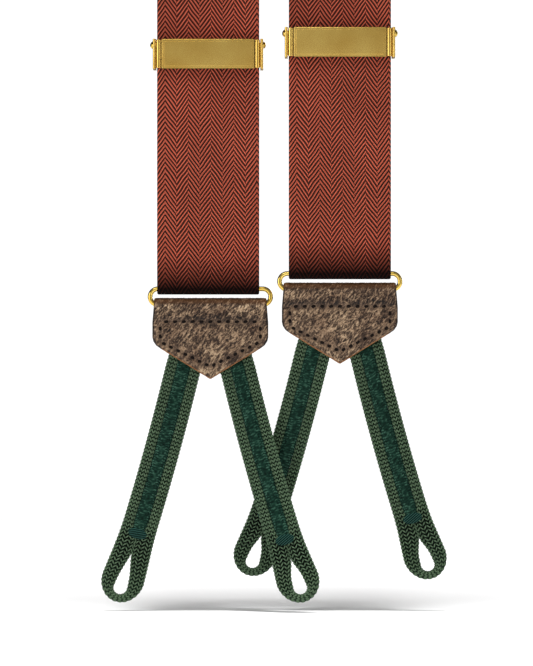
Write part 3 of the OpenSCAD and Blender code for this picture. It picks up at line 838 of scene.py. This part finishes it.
class RunnerPlace:
    # turns (across, down, out) in mm on a runner into a point in metres, along the line that it hangs in
    def __init__(self, side, which):
        bend = joints[f"{side}_{which}_runner_bend"]
        loop = np.array(mounts[f"{side}_{which}_button_loop"]["pos_m"])
        self.start = np.array(bend["pos_m"])
        self.ex = unit(np.array(bend["axis"]))
        ey = np.array([0.0, 1.0, 0.0])
        ez = np.cross(self.ex, ey)
        up = unit(self.start - loop)
        lean = math.atan2(-up @ ey, up @ ez)
        self.holeCentre = np.linalg.norm(self.start - loop) / mm
        self.bartack = np.linalg.norm(self.start - sum(nodeBox(f"{side}_{which}_bartack")) / 2) / mm
        self.sign = -1 if which == "left" else 1
        self.s = np.arange(-30.0, 110.0, 0.5)
        angle = lean * smoothStep(self.s, -2.5, 3.5)
        self.ez = -np.sin(angle)[:, None] * ey + np.cos(angle)[:, None] * ez
        self.ey = np.cos(angle)[:, None] * ey + np.sin(angle)[:, None] * ez
        steps = (-self.ez[1:] - self.ez[:-1]) / 2 * 0.5
        walked = np.concatenate([[np.zeros(3)], np.cumsum(steps, axis=0)])
        self.line = walked - walked[int(np.searchsorted(self.s, 0))]

    def directions(self, down):
        pick = lambda table: np.stack([np.interp(down, self.s, table[:, i]) for i in range(3)], -1)
        return pick(self.line), pick(self.ey), pick(self.ez)

    def points(self, across, down, out):
        line, ey = self.directions(down)[:2]
        share = np.clip(down / (self.holeCentre + 6), 0, 1)
        bowed = across - self.sign * runner["bow"] * 4 * share * (1 - share)
        offset = ey * np.asarray(out)[..., None]
        return self.start + (line + offset + self.ex * np.asarray(bowed)[..., None]) * mm


def loopOutlines(place):
    # the folded cord's inner and outer edges, down the left leg, round the button hole and up the right leg
    hole, tack = place.holeCentre, place.bartack
    end = hole + runner["holeR"] + runner["wall"]
    widest = hole - runner["widestUp"]
    down = np.arange(-runner["inLeather"], hole, runner["step"])
    innerX = np.interp(down, [tack - 3.5, tack + 1.5, tack + runner["seam"], hole - 5, hole],
                       [runner["halfStrip"], -0.4, -0.2, 1.8, runner["holeR"]])
    outerX = np.interp(down, [tack - 3, tack + 3, widest],
                       [runner["halfBand"], runner["halfBand"] + 0.25, runner["loopHalf"]])
    below = np.clip((down - widest) / (end - widest), 0, 1)
    outerX = outerX * np.sqrt(1 - below ** 2)
    kernel = np.ones(9) / 9
    ease = lambda v: np.convolve(np.concatenate([[v[0]] * 4, v, [v[-1]] * 4]), kernel, "valid")
    innerX = ease(innerX)
    outerX = np.where(down < widest, ease(outerX), outerX)
    first = math.asin((hole - widest) / (end - widest))
    turn = np.linspace(0, math.pi, 41)[1:-1]
    outerTurn = first + (math.pi - 2 * first) * turn / math.pi
    legsAndTurn = lambda legX, turnX, turnDown: np.concatenate(
        [np.stack([-legX, down], -1), np.stack([turnX, turnDown], -1), np.stack([legX, down], -1)[::-1]])
    inner = legsAndTurn(innerX, -runner["holeR"] * np.cos(turn), hole + runner["holeR"] * np.sin(turn))
    outer = legsAndTurn(outerX, -runner["loopHalf"] * np.cos(outerTurn),
                        widest + (end - widest) * np.sin(outerTurn))
    return inner, outer


def cordThickness(down):
    # pressed flat inside the leather
    return np.interp(down, [-runner["inLeather"], -6, 1.5],
                     [runner["flatThick"], runner["flatThick"], runner["halfThick"]])


def braidedCord(place, seed):
    # strands wind round an oval core both ways; each lies over two and under two of the others
    inner, outer = loopOutlines(place)
    middle = (inner + outer) / 2
    reach = (outer - inner) / 2
    thick = cordThickness(middle[:, 1])
    length = np.concatenate([[0], np.cumsum(np.linalg.norm(np.diff(middle, axis=0), axis=1))])
    inset = braid["thick"] + braid["weave"]
    wide = np.linalg.norm(reach, axis=1)
    rng = np.random.default_rng(seed)
    parts = []
    for direction in (-1, 1):
        for k in range(braid["carriers"]):
            angle = 2 * math.pi * (k / braid["carriers"] + direction * length / braid["lead"])
            wave = direction * np.cos(braid["carriers"] * angle / 2)
            lift = braid["weave"] * wave
            flat = middle + reach / wide[:, None] * ((wide - inset + lift) * np.cos(angle))[:, None]
            out = (np.maximum(thick - inset, 0.25) + lift * np.minimum(1, thick / 1.2)) * np.sin(angle)
            line = place.points(flat[:, 0], flat[:, 1], out)
            middleLine = place.points(middle[:, 0], middle[:, 1], 0 * out)
            tangent = unit(np.gradient(line, axis=0))
            outward = unit(line - middleLine)
            outward = unit(outward - np.einsum("ij,ij->i", outward, tangent)[:, None] * tangent)
            sideways = np.cross(tangent, outward)
            # painted shade: a strand is drawn darker where it dives under another
            shade = 0.5 + 0.5 * wave
            mottle = layeredNoise(length / 3.0 + 7 * k, length * 0 + direction, seed + k, 2)
            tint = rng.random() * 0.6 + 0.4 * mottle
            every = np.ones((len(line), 1))
            parts.append(tubeAlong(line, sideways, outward, braid["wide"] * mm * every,
                                   braid["thick"] * mm * every, braid["sides"],
                                   lift=(0.8 * shade)[:, None], tint=tint[:, None]))
    # the core that closes the gaps between the strands, drawn nearly black as painted shade in the gaps
    t = np.arange(braid["coreSides"]) * 2 * math.pi / braid["coreSides"]
    coreWide = (wide - inset - braid["coreDrop"])[:, None]
    coreThick = np.maximum(thick - inset - braid["coreDrop"], 0.15)[:, None]
    flat = middle[:, None] + (reach / wide[:, None])[:, None] * (coreWide * np.cos(t))[..., None]
    points = place.points(flat[..., 0], flat[..., 1], coreThick * np.sin(t))
    parts.append(gridPart(points, lift=0.0, tint=0.1))
    return parts


knit = {"step": 0.28, "column": 0.8, "pitch": 0.95,      # mm
        "sides": 44, "square": 0.6}


def knitStrip(place, seed):
    # the fine strip between the legs: a flat oval with small knitted stitches in columns
    down = np.arange(-runner["inLeather"], place.bartack - 0.6, knit["step"])
    t = np.arange(knit["sides"]) * 2 * math.pi / knit["sides"]
    thick = np.interp(down, [-runner["inLeather"], -6, 1.5], [0.7, 0.75, 1.2])[:, None]
    wide = (runner["halfStrip"] + 0.25) * np.interp(down, [place.bartack - 4, place.bartack - 0.6], [1, 0.8])
    c, s = np.cos(t)[None], np.sin(t)[None]
    across = wide[:, None] * np.sign(c) * np.abs(c) ** knit["square"]
    out = thick * np.sign(s) * np.abs(s) ** knit["square"]
    column = across / knit["column"]
    stitchWave = np.cos(2 * math.pi * (down[:, None] / knit["pitch"] + 0.5 * np.abs((column % 2) - 1)))
    ridge = np.abs(np.sin(math.pi * column))
    bumpy = 0.5 + 0.5 * stitchWave * ridge
    fuzz = layeredNoise(across / 0.45, down[:, None] / 0.45 + 0 * across, seed, 2)
    grow = 1 + (0.07 * bumpy + 0.06 * fuzz) / 1.2
    points = place.points(across, down[:, None] + 0 * across, out * grow)
    # painted shade: the strip is drawn lighter on the tops of its stitches and darker between them
    return gridPart(points, lift=0.12 + 0.75 * bumpy * fuzz * 1.6, tint=fuzz)


bartack = {"halfWide": 3.65, "halfTall": 1.95, "dome": 0.75, "pitch": 0.75, "sunk": 0.35,     # mm
           "slant": 0.45, "rings": 15, "sides": 72}


def bartackPiece(place):
    # a padded oval of satin stitch on each face: a low dome with a ridge for each thread
    parts = []
    ring = np.linspace(0.0, 1, bartack["rings"])[:, None]
    t = np.arange(bartack["sides"])[None] * 2 * math.pi / bartack["sides"]
    across = bartack["halfWide"] * ring * np.cos(t)
    downward = bartack["halfTall"] * ring * np.sin(t)
    thread = 0.5 + 0.5 * np.cos(2 * math.pi * (bartack["slant"] * across + downward) / bartack["pitch"])
    dome = bartack["dome"] * np.sqrt(np.clip(1 - ring ** 3, 0, 1)) * np.ones_like(t)
    base = runner["halfThick"] - bartack["sunk"]
    # painted shade: the satin stitch is drawn darker between the threads' ridges and at its base
    lift = np.concatenate([(0.05 + 0.85 * thread)[1:], np.full(t.shape, 0.2)])
    for face in (-1, 1):
        out = face * (base + dome * (0.75 + 0.35 * thread))
        top = place.points(across, place.bartack + downward, out)
        under = place.points(across[-1:], place.bartack + downward[-1:],
                             face * (base - 0.5) + 0 * across[-1:])
        parts.append(gridPart(np.concatenate([top[1:], under]), lift=lift, tint=0.5))
    return parts


for number, side in enumerate(ends):
    for which in fronts:
        place = RunnerPlace(side, which)
        seed = 100 + 10 * number + (0 if which == "left" else 5)
        name = f"{side}_{which}"
        bodies = (side + "_tab", name + "_runner")
        upward = place.directions(np.array(0.0))[2]
        bendFrom, bendTo = [tuple(place.start - upward * far * mm) for far in (-3.0, 4.0)]
        cord = makePiece(name + "_braided_cord", braidedCord(place, seed), cordYarn)
        replaced = [name + "_braid"] + ([side + "_tab_runner_ends"] if which == "left" else [])
        finished(cord, replaced, bend=(*bodies, bendFrom, bendTo))
        strip = makePiece(name + "_knit_strip", [knitStrip(place, seed + 1)], stripYarn)
        finished(strip, [name + "_core"], bend=(*bodies, bendFrom, bendTo))
        knot = makePiece(name + "_bartack_thread", bartackPiece(place), bartackYarn)
        finished(knot, [name + "_bartack"], body=name + "_runner")
print("runners made")


patch = {          # mm, but for waist and columns
    "foot": 24.0, "topRound": 8.0, "footRound": 4.0, "waist": 0.6, "step": 0.6, "seamIn": 3.2, "columns": 130,
}


def patchPiece(node, name, face, seed):
    # a leather shape with a narrow foot that widens up to its waist, with round corners
    low, high = nodeBox(node)
    centreX = (low[0] + high[0]) / 2 / mm
    halfW = (high[0] - low[0]) / 2 / mm
    tall = (high[2] - low[2]) / mm
    foot, waistH, r, small = patch["foot"], patch["waist"] * tall, patch["topRound"], patch["footRound"]
    z = np.concatenate([[0.0], np.linspace(0.02, 1, 10) * small,
                        np.arange(small + patch["step"], tall - r, patch["step"]),
                        tall - r + r * np.sin(np.linspace(0, math.pi / 2, 14))])
    half = np.interp(z, [small, waistH], [foot, halfW])
    half = np.where(z < small, foot - small + np.sqrt(np.maximum(small ** 2 - (small - z) ** 2, 0)), half)
    half = np.where(z > tall - r, halfW - r + np.sqrt(np.maximum(r * r - (z - tall + r) ** 2, 0)), half)
    x = np.linspace(-1, 1, patch["columns"])[None] * half[:, None]
    zz = z[:, None] + 0 * x
    grain = grainHeight(x * mm, zz * mm, seed)
    inset = np.minimum.reduce([half[:, None] - np.abs(x), zz, tall - zz])
    seamAt = np.exp(-((inset - patch["seamIn"]) / 0.7) ** 2)
    edgeR = hide["round"]
    rounding = edgeR - np.sqrt(np.maximum(edgeR * edgeR - np.maximum(edgeR - inset, 0) ** 2, 0))
    height = (hide["grain"] * grain - 0.2 * seamAt) * smoothStep(inset, 0, 1) - rounding
    outY = (high[1] if face > 0 else low[1]) / mm
    inY = (low[1] if face > 0 else high[1]) / mm
    outer = np.stack([centreX + x, outY + face * height, low[2] / mm + zz], -1)
    inner = np.stack([centreX + x, inY + 0 * x, low[2] / mm + zz], -1)
    points = np.concatenate([outer, inner[:, ::-1]], 1) * mm
    edge = np.concatenate([1 - smoothStep(inset, 0.15, 0.6), np.ones_like(x)], 1)
    # painted shade darkens the leather along the stitched groove
    shade = np.concatenate([np.clip(grain - 0.3 * seamAt, 0, 1), np.full(x.shape, 0.4)], 1)
    piece = makePiece(name, [gridPart(points, grain=shade, edge=edge)], tabLeather)
    finished(piece, [node], body="root")


def threadCopies(node, name, body, middleY):
    # each packed stitch becomes a round thread of the same place, way and length
    shape = welded(frame["nodes"][node].data, 1e-6)
    seen, threads = set(), []
    for vert in shape.verts:
        if vert.index in seen:
            continue
        stack, members = [vert], []
        while stack:
            v = stack.pop()
            if v.index in seen:
                continue
            seen.add(v.index)
            members.append(v.co[:])
            stack.extend(e.other_vert(v) for e in v.link_edges)
        box = np.array(members)
        centre = box.mean(0)
        spread = np.linalg.svd(box - centre)[2][0]
        length = np.ptp((box - centre) @ spread)
        out = np.array([0, 1.0 if centre[1] > middleY else -1.0, 0])
        threads.append(capsule(centre, spread, out, length, stitch["radius"] * mm))
    shape.free()
    piece = makePiece(name, evenYarn(threads), waxThread)
    finished(piece, [node], body=body)


patchPiece("back_patch_outer", "outer_back_patch", 1, 71)
patchPiece("back_patch_inner", "inner_back_patch", -1, 83)
middleY = sum(nodeBox("back_patch_stitching")[i][1] for i in (0, 1)) / 2
threadCopies("back_patch_stitching", "back_patch_thread", "root", middleY)
threadCopies("rear_bight_stitching", "rear_fold_thread", "rear_bight", 0)
for side in fronts:
    threadCopies(side + "_strap_end_stitching", side + "_strap_end_thread", side + "_adjuster", -1)
print("back patch and threads made")


studio = {
    "floorDrop": 0.003,    # m, from the lowest loop to the floor
    "floorRadius": 0.75,   # m
    "distance": 1.5,       # m, from the straps' face to the camera
    "frameHigh": 0.2477,   # m, height of the picture at that face
    "middleX": -0.0028,    # m, the camera's place
    "lift": 0.1004,        # m, the picture's middle over the lowest loop
    "overhead": 1.4,       # strength of the even light from above
    "overheadAngle": 4,    # degrees
    "lampHigh": 0.45,      # m, the small lamp above the object
    "lampPower": 7.8,      # W
    "forward": 2,          # degrees, how far both lean towards the viewer
}
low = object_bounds()[0]
floorZ = low[2] - studio["floorDrop"]
t = np.arange(64) * 2 * math.pi / 64
rings = np.array([0.0001, 0.3, studio["floorRadius"]])[:, None]
disc = np.stack([rings * np.cos(t), rings * np.sin(t), np.full((len(rings), len(t)), floorZ)], -1)
paper = newMaterial("whitePaperFloor", Roughness=0.9, Specular_IOR_Level=0.1, Base_Color=srgb("#FAFAFA"))[0]
floor = makePiece("floor", [gridPart(disc, caps=False)], paper, 40)
floor.data.flip_normals()
floor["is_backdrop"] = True

world = bpy.data.worlds.new("studio")
bpy.context.scene.world = world
world.use_nodes = True
tree = world.node_tree
background = tree.nodes["Background"]
direction = addNode(tree, "ShaderNodeTexCoord").outputs["Generated"]
split = addNode(tree, "ShaderNodeSeparateXYZ", {}, {0: direction})
aside = maths(tree, "ABSOLUTE", split.outputs["X"])
# the room is dim above, at the sides and behind, so that the brass has dark parts to show
soft = {"interpolation_type": "SMOOTHSTEP"}
upper = remap(tree, split.outputs["Z"], (0.0, 0.9), (0.5, 0.25), **soft)
sides = remap(tree, aside, (0.35, 0.8), (1.0, 0.12), **soft)
behind = remap(tree, split.outputs["Y"], (-0.1, 0.5), (1.0, 0.12), **soft)
sky = maths(tree, "MULTIPLY", upper, maths(tree, "MULTIPLY", sides, behind))
seen = addNode(tree, "ShaderNodeLightPath").outputs["Is Camera Ray"]
strength = addNode(tree, "ShaderNodeMix", {"data_type": "FLOAT", 3: 1.1}, {0: seen, 2: sky})
tree.links.new(strength.outputs[0], background.inputs["Strength"])
background.inputs["Color"].default_value = (1, 1, 1, 1)

middleZ = low[2] + studio["lift"]
faceY = nodeBox("left_front_web")[0][1]


def softLight(name, place, aim, size, power):
    data = bpy.data.lights.new(name, "AREA")
    data.shape = "RECTANGLE"
    data.size, data.size_y = size
    data.energy = power
    lamp = intoScene(name, data)
    lamp.location = place
    toward = np.array(aim) - np.array(place)
    pitch = math.acos(np.clip(-toward[2] / np.linalg.norm(toward), -1, 1))
    lamp.rotation_euler = (pitch, 0, math.atan2(-toward[0], toward[1]) if pitch > 1e-4 else 0)
    return lamp


aim = (0, faceY, middleZ)
softLight("keyPanel", (-0.3, -1.0, middleZ + 1.05), aim, (0.9, 0.35), 4.2)
softLight("leftPanel", (-1.15, -0.75, middleZ + 0.05), aim, (0.8, 0.9), 7.5)
softLight("rightPanel", (1.15, -0.7, middleZ + 0.05), aim, (0.35, 0.9), 3)
softLight("backPanel", (0.6, 1.3, middleZ + 0.3), aim, (0.6, 0.6), 5)
# a small lamp high above makes the soft shadow under the loops, and an even light keeps the floor white
lampBack = (studio["lampHigh"] - floorZ) * math.tan(math.radians(studio["forward"]))
lamp = softLight("overheadLamp", (0, faceY - lampBack, studio["lampHigh"]), (0, faceY, floorZ),
                 (0.1, 0.1), studio["lampPower"])
lamp.visible_glossy = False
sunData = bpy.data.lights.new("overheadLight", "SUN")
sunData.energy = studio["overhead"]
sunData.angle = math.radians(studio["overheadAngle"])
sun = intoScene("overheadLight", sunData)
sun.location = (0, 0, 1)
sun.visible_glossy = False
sun.rotation_euler = (math.radians(studio["forward"]), 0, 0)

cameraData = bpy.data.cameras.new("camera")
cameraData.lens = cameraData.sensor_width * studio["distance"] / studio["frameHigh"]
cameraData.clip_start = 0.05
camera = intoScene("camera", cameraData)
camera.location = (studio["middleX"], faceY - studio["distance"], middleZ)
camera.rotation_euler = (math.pi / 2, 0, 0)
bpy.context.scene.camera = camera
bpy.context.scene.view_settings.view_transform = "Standard"     # a plain white stays white
print("studio made")

visualBox = [list(corner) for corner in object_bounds()]
